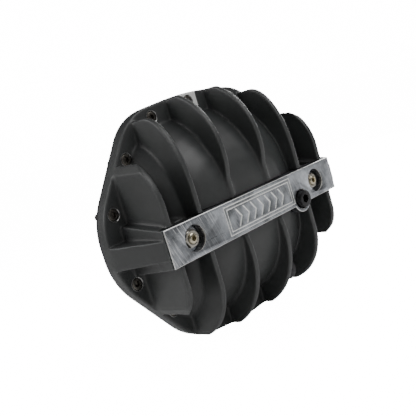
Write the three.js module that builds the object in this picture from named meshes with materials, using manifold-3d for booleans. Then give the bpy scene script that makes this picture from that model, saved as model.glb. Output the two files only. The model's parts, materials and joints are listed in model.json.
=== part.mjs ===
// Finned differential cover for a heavy solid axle, as bolted to the axle housing.
// Millimetres. The origin is the centre of the mating plane (the rear face of the gasket),
// +X runs right along the support bar, +Y goes into the axle housing, +Z is up.
import * as THREE from 'three';
import { mergeVertices } from 'three/addons/utils/BufferGeometryUtils.js';
import Module from 'manifold-3d';

const wasm = await Module();
wasm.setup();

// ---- driving dimensions -------------------------------------------------------------------

const gap = 0.3; // clearance between two pieces that seat on each other
const beyond = 20; // how far a cutter runs past the face it opens

// Flange outline: a twelve-sided plate, the same left and right, with rounded corners.
const halfWidth = 173.5;
const topHeight = 155.5;
const bottomHeight = 141;
const flangeThickness = 16;
const gasketThickness = 1;
const shoulder = { in: 76.8, down: 10, radius: 68 }; // from the side, and from the top
const side = { top: 41, bottom: -29, radius: 86 };
const hip = { in: 76.8, up: 10.7, radius: 68 }; // from the side, and from the bottom
const crownRadius = 350;

// Dome: a barrel that closes at its ends, standing on the flange.
const barFront = 87; // mating plane to the front of the support bar
const domeBehindBar = 8; // front of the bar to the front of the dome
const domeBase = 12; // the dome's edge, measured from the mating plane
const sideLand = 43.5; // flange between the dome and its side edge
const topLand = 26;
const bottomLand = 25;
const wall = 8;
const endPower = 4; // how square the ends of the barrel are
const backPower = 3; // how square its top and bottom are

// Ribs, from the outermost pair inwards. `in` is from the dome's side to the rib's middle,
// `behind` is from the bar's front to the rib's, `deep` and `tall` are the half axes of the arc
// at each end, `over` is how far that arc's end stands past the flange outline, and `fade` ends
// the rib in the dome.
const ribThickness = 7;
const ribDraft = 0.04; // the ribs' outer ends lean inwards by this much for each mm forward
const ribs = [
  {
    in: -6.6, behind: 4, fade: false,
    top: { deep: 62, tall: 62, over: 13 }, bottom: { deep: 44, tall: 44, over: 10 },
  },
  {
    in: 39.5, behind: 3.7, fade: false,
    top: { deep: 48, tall: 91, over: -10 }, bottom: { deep: 74, tall: 74, over: -1 },
  },
  {
    in: 97.7, behind: 1.5, fade: true,
    top: { deep: 80, tall: 84, over: 6 }, bottom: { deep: 98, tall: 98, over: 8.6 },
  },
];

// Support bar and the pads that hold its ends.
const barHeight = 42;
const barThickness = 18;
const barOverhang = 12.3; // past the middle of the outermost rib
const barChamfer = 0.8;
const endLip = 2.7; // casting wall round the end of the bar
// The pad behind each end of the bar: its width, the lip round the bar's end, and its half
// heights at the flange.
const pad = { width: 22, lip: 1.7, up: 31, down: 27 };
const lipBehindBar = 1.5;
const beam = { atFlange: 14, atBar: 11 }; // half heights

// Load screws, which pass through the bar and press on the bearing caps inside the axle.
const loadScrewIn = 25.6; // from the middle of the outermost rib
const loadScrew = { radius: 6, length: 72, belowBar: 2.7, socketAcross: 6, socketDepth: 6 };
const jamNut = { across: 18, height: 6, belowBar: 5 };
const sealWasher = { radius: 12, thickness: 1.5 };
const counterboreRadius = 14.7;
const loadBossRadius = 22;
const threadPlay = 0.15; // radial, either side of the thread line

// Fill plug, through a lug of the bar.
const fillPlug = {
  out: 14.5, // from the middle rib pair's outer neighbour, towards the middle
  z: -15,
  headRadius: 10.5,
  shankRadius: 9,
  shankLength: 20,
  ahead: 5.5, // in front of the bar
  socketAcross: 10,
  socketDepth: 8,
};
const lugRadius = 16.3;
const lugBore = { clearance: 1.8, chamfer: 1 }; // round the plug's head
const headClearance = 0.8;
const plugSeal = { thickness: 1.5, inside: 0.2 }; // its rim stands inside the plug head's
const plugBossRadius = 15;

// Drain plug, low between the middle rib and the next one on the right.
const drainPlug = {
  out: 20, // from the middle rib
  up: 40, // from the bottom of the flange corner
  depth: 48, // its boss, from the mating plane
  headRadius: 12,
  headHeight: 5,
  shankRadius: 9,
  shankLength: 22,
  socketAcross: 8,
  socketDepth: 4,
  magnetRadius: 4,
  magnetLength: 8,
};
const drainBossRadius = 15;
const drainBossLength = 24;

// Flange screws: the edge of the outline each stands on, and how far along it.
const boltInset = 13;
const bolt = { radius: 4, headRadius: 6.4, headHeight: 8, length: 34, socketAcross: 6, socketDepth: 4 };
const boltHoleRadius = 4.5;
const boltHeadClearance = 0.7;
const boltSunk = 0.4; // the head's top, below the pocket floor
const boltPlaces = [
  ['top', 0], ['top', 0.66], ['shoulder', 0.38], ['shoulder', 0.88],
  ['hip', 0.14], ['hip', 0.61], ['bottom', 0.33], ['bottom', 1],
];

// Engraved panel on the bar.
const engraving = { halfLength: 64.8, margin: 3.8, line: 1.5, depth: 0.6, step: 3.8 };
const chevrons = { count: 7, pitch: 13, width: 2.6, reach: 7 };

const finish = {
  casting: { color: 0x34363a, roughness: 0.5, metalness: 0.2 },
  bar: { color: 0xc9ccd0, roughness: 0.28, metalness: 1 },
  gasket: { color: 0x1c1d1e, roughness: 0.8, metalness: 0 },
  zinc: { color: 0xb7b3a6, roughness: 0.35, metalness: 1 },
  yellowZinc: { color: 0xb8a876, roughness: 0.35, metalness: 1 },
  blackOxide: { color: 0x17181a, roughness: 0.4, metalness: 0.6 },
  seal: { color: 0x8c8a86, roughness: 0.5, metalness: 0.5 },
  magnet: { color: 0x6e7074, roughness: 0.4, metalness: 0.9 },
};

// ---- places worked out from them ----------------------------------------------------------

const castingBack = -(gasketThickness + gap);
const floor = castingBack - flangeThickness; // the pockets' floor
const barFrontY = -barFront;
const barBackY = barFrontY + barThickness;
const seatY = barBackY + gap; // the casting face that the bar lies on
const domeFrontY = barFrontY + domeBehindBar;
const domeHalf = halfWidth - sideLand;
const domeTop = topHeight - topLand;
const domeBottom = bottomHeight - bottomLand;
const ribX = ribs.map((rib) => domeHalf - rib.in);
const barHalf = ribX[0] + barOverhang;
const loadX = ribX[0] - loadScrewIn;
const fillX = ribX[1] - fillPlug.out;
const drainX = ribX[2] + drainPlug.out;
const drainZ = -bottomHeight + drainPlug.up;
const boltHeadFront = floor + boltSunk;

// The flange's corners on the right-hand side, from the top down: [x, z, radius].
const corners = {
  crown: [0, topHeight, crownRadius],
  shoulder: [halfWidth - shoulder.in, topHeight - shoulder.down, shoulder.radius],
  sideTop: [halfWidth, side.top, side.radius],
  sideBottom: [halfWidth, side.bottom, side.radius],
  hip: [halfWidth - hip.in, -bottomHeight + hip.up, hip.radius],
  keel: [0, -bottomHeight, crownRadius],
};
const edges = {
  top: [corners.crown, corners.shoulder],
  shoulder: [corners.shoulder, corners.sideTop],
  hip: [corners.sideBottom, corners.hip],
  bottom: [corners.hip, corners.keel],
};

// ---- solids -------------------------------------------------------------------------------

// A closed geometry as a solid, faces outwards.
function solid(geometry) {
  geometry.deleteAttribute('normal');
  geometry.deleteAttribute('uv');
  const merged = mergeVertices(geometry, 1e-4);
  const triVerts = new Uint32Array(merged.index.array);
  const make = () => new wasm.Manifold(
    new wasm.Mesh({ numProp: 3, vertProperties: merged.attributes.position.array, triVerts }),
  );
  const made = make();
  if (made.volume() > 0) return made;
  for (let i = 0; i < triVerts.length; i += 3) {
    [triVerts[i + 1], triVerts[i + 2]] = [triVerts[i + 2], triVerts[i + 1]];
  }
  return make();
}

const join = (...parts) => parts.reduce((all, part) => all.add(part));
const cut = (body, ...tools) => tools.reduce((left, tool) => left.subtract(tool), body);

// A shape drawn in x and z, standing between two values of y.
function plate(shape, y0, y1, curveSegments = 10) {
  const geometry = new THREE.ExtrudeGeometry(shape, { depth: y1 - y0, bevelEnabled: false, curveSegments });
  return solid(geometry.rotateX(Math.PI / 2).translate(0, y1, 0));
}

// A shape drawn in y and z, standing between two values of x.
function slab(shape, x0, x1, curveSegments = 24) {
  const geometry = new THREE.ExtrudeGeometry(shape, { depth: x1 - x0, bevelEnabled: false, curveSegments });
  const turn = new THREE.Matrix4().makeBasis(
    new THREE.Vector3(0, 1, 0),
    new THREE.Vector3(0, 0, 1),
    new THREE.Vector3(1, 0, 0),
  );
  return solid(geometry.applyMatrix4(turn).translate(x0, 0, 0));
}

// A shape drawn in x and y, standing between two values of z.
function block(shape, z0, z1) {
  const geometry = new THREE.ExtrudeGeometry(shape, { depth: z1 - z0, bevelEnabled: false });
  return solid(geometry.translate(0, 0, z0));
}

// A profile of [radius, y] pairs, turned about the line through (x, z) that runs along y.
function turned(profile, x = 0, z = 0, segments = 32) {
  const points = profile.map(([r, y]) => new THREE.Vector2(r, y));
  return solid(new THREE.LatheGeometry(points, segments).translate(x, 0, z));
}

const rod = (radius, y0, y1, x = 0, z = 0, segments = 32) =>
  turned([[0, y0], [radius, y0], [radius, y1], [0, y1]], x, z, segments);

const ring = (inner, outer, y0, y1, x, z, segments = 32) =>
  turned([[inner, y0], [outer, y0], [outer, y1], [inner, y1], [inner, y0]], x, z, segments);

const path = (points) => new THREE.Shape(points.map(([a, b]) => new THREE.Vector2(a, b)));

const rectangle = (x0, x1, z0, z1) => path([[x0, z0], [x1, z0], [x1, z1], [x0, z1]]);

function box(x0, x1, y0, y1, z0, z1) {
  return plate(rectangle(x0, x1, z0, z1), y0, y1);
}

// A hexagon's corners, flats up and down, for a socket or a nut.
function hexagon(across, x, z) {
  const reach = across / Math.sqrt(3);
  const corner = (i) => [x + reach * Math.cos((i * Math.PI) / 3), z + reach * Math.sin((i * Math.PI) / 3)];
  return path([0, 1, 2, 3, 4, 5].map(corner));
}

// ---- the flange outline -------------------------------------------------------------------

// The outline with every corner rounded; `inset` moves all of it inwards.
function outline(inset = 0) {
  const right = Object.values(corners);
  const left = right.slice(1, -1).reverse().map(([x, z, r]) => [-x, z, r]);
  const ends = [...right, ...left].map(([x, z, r]) => ({ at: new THREE.Vector2(x, z), r }));
  const shape = new THREE.Shape();
  ends.forEach(({ at, r }, i) => {
    const before = ends[(i + ends.length - 1) % ends.length].at;
    const after = ends[(i + 1) % ends.length].at;
    const back = before.clone().sub(at).normalize();
    const ahead = after.clone().sub(at).normalize();
    const half = Math.acos(back.dot(ahead)) / 2;
    const toCentre = back.clone().add(ahead).normalize();
    const centre = at.clone().addScaledVector(toCentre, r / Math.sin(half));
    const start = at.clone().addScaledVector(back, r / Math.tan(half)).sub(centre);
    const end = at.clone().addScaledVector(ahead, r / Math.tan(half)).sub(centre);
    shape.absarc(centre.x, centre.y, r - inset, start.angle(), end.angle(), true);
  });
  return shape;
}

// The height of the outline at x, above or below, without its corner rounding.
function outlineZ(x, upper) {
  const line = upper
    ? [corners.crown, corners.shoulder, corners.sideTop]
    : [corners.keel, corners.hip, corners.sideBottom];
  const next = line.findIndex((corner, i) => i > 0 && corner[0] >= x);
  const [x0, z0] = line[next - 1];
  const [x1, z1] = line[next];
  return z0 + ((z1 - z0) * (x - x0)) / (x1 - x0);
}

// A place on a named edge of the outline, moved inwards.
function onEdge(name, along, inset) {
  const [from, to] = edges[name].map(([x, z]) => new THREE.Vector2(x, z));
  const run = to.clone().sub(from);
  const inwards = new THREE.Vector2(run.y, -run.x).normalize();
  const place = from.clone().addScaledVector(run, along).addScaledVector(inwards, inset);
  if (along === 0 || along === 1) place.x = 0;
  return place;
}

const boltCentres = boltPlaces.flatMap(([edge, along]) => {
  const place = onEdge(edge, along, boltInset);
  if (place.x < 1) return [[0, place.y]];
  return [[place.x, place.y], [-place.x, place.y]];
});

// ---- the dome -----------------------------------------------------------------------------

// How far out of the middle a point is, 0 to 1 at the dome's edge.
function spread(x, z, half, top, bottom) {
  return (Math.abs(x) / half) ** endPower + (Math.abs(z) / (z > 0 ? top : bottom)) ** backPower;
}

// The distance from the middle to the dome's edge in one direction.
function edgeReach(angle, half, top, bottom) {
  let low = 0;
  let high = half + top;
  for (let i = 0; i < 40; i += 1) {
    const middle = (low + high) / 2;
    const inside = spread(middle * Math.cos(angle), middle * Math.sin(angle), half, top, bottom) < 1;
    if (inside) low = middle;
    else high = middle;
  }
  return low;
}

// A barrel with closed ends, from its front at y = front to a flat back at y = back.
function dome(shrink, front, back, rings = 10, segments = 48) {
  const sizes = [domeHalf - shrink, domeTop - shrink, domeBottom - shrink];
  const profile = [];
  for (let i = 0; i <= rings; i += 1) {
    profile.push(new THREE.Vector2(Math.sin((i / rings) * (Math.PI / 2)), -1));
  }
  profile.push(new THREE.Vector2(1, 1), new THREE.Vector2(0, 1));
  const geometry = new THREE.LatheGeometry(profile, segments);
  const place = geometry.attributes.position;
  const depth = -domeBase - front;
  for (let i = 0; i < place.count; i += 1) {
    const across = Math.hypot(place.getX(i), place.getZ(i));
    const angle = Math.atan2(place.getZ(i), place.getX(i));
    const reach = across * edgeReach(angle, ...sizes);
    const x = reach * Math.cos(angle);
    const z = reach * Math.sin(angle);
    const rise = Math.max(0, 1 - spread(x, z, ...sizes)) ** 0.88;
    place.setXYZ(i, x, place.getY(i) > 0 ? back : -domeBase - depth * rise, z);
  }
  return solid(geometry);
}

// ---- the casting --------------------------------------------------------------------------

// One rib's side view: an arc above and one below, joined along the front.
function ribOutline(x, { top, bottom, fade, behind }) {
  const ribFrontY = barFrontY + behind;
  const upper = outlineZ(x, true) + top.over - top.tall;
  const lower = outlineZ(x, false) - bottom.over + bottom.tall;
  const past = fade ? 0.36 : 0; // the arc runs on by this angle, back into the dome
  const back = ribFrontY + Math.max(top.deep, bottom.deep, -ribFrontY) + 1;
  const shape = new THREE.Shape();
  const topY = ribFrontY + top.deep;
  const bottomY = ribFrontY + bottom.deep;
  shape.moveTo(back, upper + top.tall);
  shape.lineTo(topY, upper + top.tall);
  shape.absellipse(topY, upper, top.deep, top.tall, Math.PI / 2, Math.PI + past, false);
  shape.absellipse(bottomY, lower, bottom.deep, bottom.tall, Math.PI - past, 1.5 * Math.PI, false);
  shape.lineTo(back, lower - bottom.tall);
  return shape;
}

// The outline carried forward, with the ribs' draft.
function ribLimits() {
  const lean = 1 - (ribDraft * (floor - barFrontY)) / halfWidth;
  const geometry = new THREE.ExtrudeGeometry(outline(), { depth: 1, bevelEnabled: false, curveSegments: 8 });
  geometry.rotateX(Math.PI / 2);
  const place = geometry.attributes.position;
  for (let i = 0; i < place.count; i += 1) {
    const isFront = place.getY(i) < -0.5;
    const scale = isFront ? lean : 1;
    place.setXYZ(i, place.getX(i) * scale, isFront ? barFrontY : castingBack, place.getZ(i) * scale);
  }
  return solid(geometry);
}

// A rib pair, cut to the flange's outline.
function ribPair(rib, x, limits) {
  const shape = ribOutline(x, rib);
  const pair = [x, -x].map((at) => slab(shape, at - ribThickness / 2, at + ribThickness / 2, 14));
  return join(...pair).intersect(limits);
}

// The beam at bar height, from the flange's side to the end of the bar, and the bar's end pad.
function sideBeam(sign) {
  const tip = sign * (barHalf + gap + endLip);
  const root = sign * halfWidth;
  const inner = sign * (barHalf - pad.width);
  const front = barFrontY + lipBehindBar;
  const plan = path([[inner, castingBack], [root, castingBack], [root, floor], [tip, front], [inner, front]]);
  const taper = path([
    [castingBack, beam.atFlange], [barFrontY, beam.atBar], [barFrontY, -beam.atBar], [castingBack, -beam.atFlange],
  ]);
  const web = block(plan, -beam.atFlange, beam.atFlange).intersect(slab(taper, -halfWidth, halfWidth));
  const reach = barHeight / 2;
  const padSide = path([[floor + 1, pad.up], [front, reach], [front, -reach], [floor + 1, -pad.down]]);
  const [x0, x1] = [inner, sign * (barHalf + gap + pad.lip)].sort((a, b) => a - b);
  return join(web, slab(padSide, x0, x1));
}

// The bar's face outline, grown by `grow` for its seat in the casting.
function barOutline(grow = 0) {
  const half = barHeight / 2 + grow;
  const end = barHalf + grow;
  const radius = lugRadius + grow;
  const side0 = Math.sqrt(radius ** 2 - (half + fillPlug.z) ** 2);
  const shape = new THREE.Shape();
  shape.moveTo(-end, -half);
  shape.lineTo(fillX - side0, -half);
  const start = Math.atan2(-half - fillPlug.z, -side0);
  const finishAngle = Math.atan2(-half - fillPlug.z, side0);
  shape.absarc(fillX, fillPlug.z, radius, start, finishAngle, false);
  shape.lineTo(end, -half);
  shape.lineTo(end, half);
  shape.lineTo(-end, half);
  return shape;
}

function casting() {
  const limits = ribLimits();
  const ribBodies = ribs.map((rib, i) => ribPair(rib, ribX[i], limits));
  const loadBosses = [loadX, -loadX].map((x) => rod(loadBossRadius, seatY, floor + 1, x));
  const body = join(
    plate(outline(), floor, castingBack),
    dome(0, domeFrontY, castingBack),
    ...ribBodies,
    ...loadBosses,
    sideBeam(1),
    sideBeam(-1),
    rod(drainBossRadius, -drainPlug.depth, floor + 1, drainX, drainZ),
  );

  // The hollow leaves a floor behind the bar and a boss behind each plug.
  const channel = barHeight / 2 + wall;
  const hollow = cut(
    dome(wall, domeFrontY + wall, beyond),
    box(-halfWidth, halfWidth, domeFrontY, seatY + wall, -channel, channel),
    rod(plugBossRadius + gap, domeFrontY, seatY + fillPlug.shankLength - 5, fillX, fillPlug.z),
    rod(drainBossRadius, -drainPlug.depth, -drainPlug.depth + drainBossLength, drainX, drainZ),
  );
  const seat = plate(barOutline(gap), barFrontY - beyond, seatY);
  const bolts = boltCentres.flatMap(([x, z]) => [
    rod(boltHoleRadius, floor - 1, castingBack + 1, x, z, 16),
    turned([
      [0, floor - beyond], [bolt.headRadius + boltHeadClearance, floor - beyond],
      [bolt.headRadius + boltHeadClearance, boltHeadFront + bolt.headHeight + gap],
      [0, boltHeadFront + bolt.headHeight + gap],
    ], x, z, 20),
  ]);
  const threads = [loadX, -loadX].map((x) => rod(loadScrew.radius + threadPlay, seatY - 1, beyond, x));
  return cut(
    body, hollow, seat, ...bolts, ...threads,
    rod(fillPlug.shankRadius + threadPlay, seatY - 1, 0, fillX, fillPlug.z),
    rod(drainPlug.headRadius + headClearance, -drainPlug.depth - beyond, -drainPlug.depth, drainX, drainZ),
    rod(drainPlug.shankRadius + threadPlay, -drainPlug.depth - 1, castingBack + beyond, drainX, drainZ),
  );
}

// ---- the bar ------------------------------------------------------------------------------

// A frame of one groove's width round a rectangle.
function grooveFrame(x0, x1, z0, z1, width) {
  const shape = rectangle(x0, x1, z0, z1);
  shape.holes.push(rectangle(x0 + width, x1 - width, z0 + width, z1 - width));
  return shape;
}

function engravedLines() {
  const half = barHeight / 2;
  const lines = [0, 1].map((i) => {
    const inset = engraving.margin + i * engraving.step;
    return grooveFrame(
      inset - engraving.halfLength, engraving.halfLength - inset, inset - half, half - inset,
      engraving.line,
    );
  });
  const tall = half - engraving.margin - engraving.step - 3;
  for (let i = 0; i < chevrons.count; i += 1) {
    const x = (i - (chevrons.count - 1) / 2) * chevrons.pitch - (chevrons.width + chevrons.reach) / 2;
    lines.push(path([
      [x, -tall], [x + chevrons.width, -tall], [x + chevrons.width + chevrons.reach, 0],
      [x + chevrons.width, tall], [x, tall], [x + chevrons.reach, 0],
    ]));
  }
  return lines.map((shape) => plate(shape, barFrontY - 1, barFrontY + engraving.depth));
}

function supportBar() {
  const front = new THREE.ExtrudeGeometry(barOutline(-barChamfer), {
    depth: barThickness - 2 * barChamfer,
    bevelThickness: barChamfer,
    bevelSize: barChamfer,
    bevelSegments: 1,
    curveSegments: 24,
  });
  const body = solid(front.rotateX(Math.PI / 2).translate(0, barBackY - barChamfer, 0));
  const counterbore = barFrontY + jamNut.belowBar + jamNut.height + sealWasher.thickness + 2 * gap;
  const bores = [loadX, -loadX].flatMap((x) => [
    rod(counterboreRadius, barFrontY - 1, counterbore, x, 0, 48),
    rod(loadScrew.radius + 3 * gap, barFrontY, barBackY + 1, x),
  ]);
  const plugBore = fillPlug.headRadius + lugBore.clearance;
  const lugHole = turned([
    [0, barFrontY - 1], [plugBore + lugBore.chamfer + 1, barFrontY - 1],
    [plugBore, barFrontY + lugBore.chamfer], [plugBore, barBackY + 1], [0, barBackY + 1],
  ], fillX, fillPlug.z, 40);
  return cut(body, ...bores, lugHole, ...engravedLines());
}

// ---- fasteners, plugs and seals -----------------------------------------------------------

// A hexagon socket that opens forwards.
const socket = (across, y, depth, x, z) => plate(hexagon(across, x, z), y - 1, y + depth);

function flangeScrew(x, z) {
  const y = boltHeadFront;
  const under = y + bolt.headHeight;
  const body = turned([
    [0, y], [bolt.headRadius - 0.6, y], [bolt.headRadius, y + 0.6], [bolt.headRadius, under],
    [bolt.radius, under], [bolt.radius, y + bolt.length - 1], [bolt.radius - 1, y + bolt.length],
    [0, y + bolt.length],
  ], x, z, 16);
  return cut(body, socket(bolt.socketAcross, y, bolt.socketDepth, x, z));
}

function loadScrewBody(x) {
  const y = barFrontY + loadScrew.belowBar;
  const radius = loadScrew.radius - threadPlay;
  const body = turned([
    [0, y], [radius - 1, y], [radius, y + 1], [radius, y + loadScrew.length - 2],
    [radius - 2, y + loadScrew.length], [0, y + loadScrew.length],
  ], x, 0);
  return cut(body, socket(loadScrew.socketAcross, y, loadScrew.socketDepth, x, 0));
}

function jamNutBody(x) {
  const y0 = barFrontY + jamNut.belowBar;
  const y1 = y0 + jamNut.height;
  const corner = jamNut.across / Math.sqrt(3);
  const crown = turned([
    [0, y0], [jamNut.across / 2, y0], [corner + 0.1, y0 + 1], [corner + 0.1, y1 - 1],
    [jamNut.across / 2, y1], [0, y1],
  ], x, 0, 48);
  const body = plate(hexagon(jamNut.across, x, 0), y0 - 1, y1 + 1).intersect(crown);
  return cut(body, rod(loadScrew.radius + threadPlay, y0 - 2, y1 + 2, x));
}

function loadWasher(x) {
  const y = barFrontY + jamNut.belowBar + jamNut.height + gap;
  return ring(loadScrew.radius + 2 * gap, sealWasher.radius, y, y + sealWasher.thickness, x, 0, 40);
}

const sealRing = (plug, seat, x, z) =>
  ring(plug.shankRadius + gap, plug.headRadius - plugSeal.inside, seat - gap - plugSeal.thickness, seat - gap, x, z);

function fillPlugBody() {
  const y0 = barFrontY - fillPlug.ahead;
  const under = seatY - 2 * gap - plugSeal.thickness;
  const shank = fillPlug.shankRadius - threadPlay;
  const body = turned([
    [0, y0], [fillPlug.headRadius - 1.2, y0], [fillPlug.headRadius, y0 + 1.2],
    [fillPlug.headRadius, under], [shank, under], [shank, under + fillPlug.shankLength],
    [0, under + fillPlug.shankLength],
  ], fillX, fillPlug.z, 40);
  return cut(body, socket(fillPlug.socketAcross, y0, fillPlug.socketDepth, fillX, fillPlug.z));
}

const drainUnder = -drainPlug.depth - 2 * gap - plugSeal.thickness;
const drainTip = drainUnder + drainPlug.shankLength;

function drainPlugBody() {
  const y0 = drainUnder - drainPlug.headHeight;
  const shank = drainPlug.shankRadius - threadPlay;
  const body = turned([
    [0, y0], [drainPlug.headRadius - 1, y0], [drainPlug.headRadius, y0 + 1],
    [drainPlug.headRadius, drainUnder], [shank, drainUnder], [shank, drainTip], [0, drainTip],
  ], drainX, drainZ);
  const pocket = rod(drainPlug.magnetRadius + gap, drainTip - drainPlug.magnetLength, drainTip + 1, drainX, drainZ);
  return cut(body, pocket, socket(drainPlug.socketAcross, y0, drainPlug.socketDepth, drainX, drainZ));
}

const drainMagnet = () => rod(
  drainPlug.magnetRadius, drainTip - drainPlug.magnetLength + gap, drainTip + 2, drainX, drainZ, 24,
);

function gasket() {
  const opening = dome(wall - 1, domeFrontY + wall, beyond);
  const holes = boltCentres.map(([x, z]) => rod(boltHoleRadius, -beyond, beyond, x, z, 16));
  return cut(plate(outline(0.5), -gasketThickness, 0), opening, ...holes);
}

// ---- the assembly -------------------------------------------------------------------------

function mesh(name, made, look) {
  const { vertProperties, triVerts } = made.getMesh();
  const geometry = new THREE.BufferGeometry();
  geometry.setAttribute('position', new THREE.BufferAttribute(Float32Array.from(vertProperties), 3));
  geometry.setIndex(new THREE.BufferAttribute(Uint32Array.from(triVerts), 1));
  const flat = geometry.toNonIndexed();
  flat.computeVertexNormals();
  const piece = new THREE.Mesh(flat, new THREE.MeshStandardMaterial(finish[look]));
  piece.name = name;
  return piece;
}

const cover = new THREE.Group();
cover.add(
  mesh('cover_casting', casting(), 'casting'),
  mesh('support_bar', supportBar(), 'bar'),
  mesh('flange_gasket', gasket(), 'gasket'),
);
boltCentres.forEach(([x, z], i) => {
  const name = `flange_screw_${String(i + 1).padStart(2, '0')}`;
  cover.add(mesh(name, flangeScrew(x, z), 'blackOxide'));
});
for (const [hand, x] of [['left', -loadX], ['right', loadX]]) {
  cover.add(
    mesh(`${hand}_load_screw`, loadScrewBody(x), 'yellowZinc'),
    mesh(`${hand}_jam_nut`, jamNutBody(x), 'zinc'),
    mesh(`${hand}_seal_washer`, loadWasher(x), 'seal'),
  );
}
cover.add(
  mesh('fill_plug', fillPlugBody(), 'blackOxide'),
  mesh('fill_plug_seal', sealRing(fillPlug, seatY, fillX, fillPlug.z), 'seal'),
  mesh('drain_plug', drainPlugBody(), 'blackOxide'),
  mesh('drain_plug_seal', sealRing(drainPlug, -drainPlug.depth, drainX, drainZ), 'seal'),
  mesh('drain_plug_magnet', drainMagnet(), 'magnet'),
);

export default cover;
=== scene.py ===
import json
import math

import bmesh
import bpy
import numpy as np
from bpy.props import FloatProperty, FloatVectorProperty, IntProperty, PointerProperty
from mathutils import Matrix, Vector

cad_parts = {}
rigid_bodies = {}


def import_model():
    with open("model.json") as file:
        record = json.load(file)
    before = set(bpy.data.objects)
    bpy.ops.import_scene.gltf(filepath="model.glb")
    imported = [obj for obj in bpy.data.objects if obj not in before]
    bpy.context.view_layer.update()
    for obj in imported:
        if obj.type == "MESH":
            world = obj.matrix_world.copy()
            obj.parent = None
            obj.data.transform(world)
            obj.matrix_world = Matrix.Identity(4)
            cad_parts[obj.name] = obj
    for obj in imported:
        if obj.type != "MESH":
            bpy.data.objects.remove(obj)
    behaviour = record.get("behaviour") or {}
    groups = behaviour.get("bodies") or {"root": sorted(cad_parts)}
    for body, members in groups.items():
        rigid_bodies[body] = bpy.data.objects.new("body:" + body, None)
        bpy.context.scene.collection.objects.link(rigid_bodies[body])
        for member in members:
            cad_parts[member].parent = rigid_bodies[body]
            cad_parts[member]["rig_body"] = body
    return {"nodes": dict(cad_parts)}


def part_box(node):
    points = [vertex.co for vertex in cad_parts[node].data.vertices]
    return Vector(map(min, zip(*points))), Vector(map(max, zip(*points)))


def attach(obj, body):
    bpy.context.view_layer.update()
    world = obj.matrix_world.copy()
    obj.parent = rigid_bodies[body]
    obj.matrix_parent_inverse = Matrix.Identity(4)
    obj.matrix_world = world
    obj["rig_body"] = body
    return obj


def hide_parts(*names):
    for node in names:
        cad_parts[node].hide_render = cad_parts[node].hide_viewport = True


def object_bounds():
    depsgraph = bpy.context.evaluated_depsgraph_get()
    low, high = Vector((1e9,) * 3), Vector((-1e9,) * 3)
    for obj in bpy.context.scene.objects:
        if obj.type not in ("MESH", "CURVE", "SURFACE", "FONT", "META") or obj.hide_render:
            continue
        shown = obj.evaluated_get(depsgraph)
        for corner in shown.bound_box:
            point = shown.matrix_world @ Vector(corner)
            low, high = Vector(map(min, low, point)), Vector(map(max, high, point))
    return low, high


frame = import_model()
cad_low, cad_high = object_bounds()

bl_info = {
    "name": "Finned Differential Cover",
    "version": (1, 0, 0),
    "blender": (4, 5, 0),
    "location": "3D View > Sidebar > Cover",
    "description": "Casting, billet bar, screws and plugs of a finned differential cover",
    "category": "Object",
}

MM = 0.001


# ---- places that come from the frame -------------------------------------------------------

def centre_of(node):
    """The middle of a node, seen along the screws' axis."""
    low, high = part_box(node)
    return (low.x + high.x) / 2, (low.z + high.z) / 2


def front_of(node):
    """The y of a node's front."""
    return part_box(node)[0].y


def back_of(node):
    """The y of a node's back."""
    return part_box(node)[1].y


BAR_LOW, BAR_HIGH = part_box("support_bar")
CAST_LOW, CAST_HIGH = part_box("cover_casting")
FLANGE_SCREWS = [name for name in sorted(frame["nodes"]) if name.startswith("flange_screw_")]
SCREW_PLACES = [centre_of(name) for name in FLANGE_SCREWS]
LOAD_PLACES = [centre_of("left_load_screw"), centre_of("right_load_screw")]
FILL_PLACE = centre_of("fill_plug")
DRAIN_PLACE = centre_of("drain_plug")
SCREW_FRONT = front_of("flange_screw_01")
POCKET_FLOOR = SCREW_FRONT - 0.4 * MM
BAR_SEAT = BAR_HIGH.y + 0.3 * MM


# ---- fixed sizes ---------------------------------------------------------------------------

# Round screws and plugs, keyed as headed_screw takes them.
FLANGE_SCREW = {"shank": 4 * MM, "socket": 6 * MM, "depth": 4 * MM}
FILL_PLUG = {"head": 10.5 * MM, "shank": 8.85 * MM, "socket": 10 * MM, "depth": 8 * MM}
DRAIN_PLUG = {"head": 12 * MM, "shank": 8.85 * MM, "socket": 8 * MM, "depth": 4 * MM}
SCREW_SEGMENTS = 48
PLUG_SEGMENTS = 72
FLANGE_HEAD_HEIGHT = 8 * MM
LOAD_SOCKET_ACROSS = 6 * MM
LOAD_SOCKET_DEPTH = 6 * MM
THREAD_DEPTH = 0.58  # of the pitch, on screws and plugs with heads
LOAD_THREAD_DEPTH = 0.55  # of the pitch, on the load screws

# How far round a screw's axis the casting keeps its machined shape.
POCKET_REACH = 8.6 * MM
LOAD_REACH = 10 * MM
FILL_REACH = 13 * MM
DRAIN_REACH = 17 * MM
LUG_REACH = 17 * MM
SEAT_DEPTH = BAR_SEAT + 1.5 * MM

# How much of the rounding is left near the screws, the bosses and the bar's seat.
POCKET_ROUNDING = 0.35
BOSS_ROUNDING = 0.5
SEAT_ROUNDING = 0.3

# Edges of the bare machined spot on the flange.
SPOT_LEFT = -11 * MM
SPOT_RIGHT = 14 * MM
SPOT_BOTTOM = 134 * MM

# Steps that smooth and fill the casting, and how many fillings share one set of normals.
SMOOTH_STEP = 0.5
FILL_STEP = 0.6
NORMALS_EVERY = 6

# How far the machined seat reaches past the bar's ends, and past its upper and lower edges.
SEAT_PAST_ENDS = 3.5 * MM
SEAT_PAST_EDGES = 1.8 * MM

# Widths of the broken edges on the small pieces.
NUT_EDGE = 0.25 * MM
SEAL_EDGE = 0.3 * MM
MAGNET_EDGE = 0.4 * MM
GASKET_EDGE = 0.1 * MM

# Angles, in degrees, past which an edge is drawn sharp, is broken, or is left flat.
TURNED_SHARP = 40
FLAT_SHARP = 30
BROKEN_EDGE = 28
FLAT_FACE = 0.5

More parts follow.
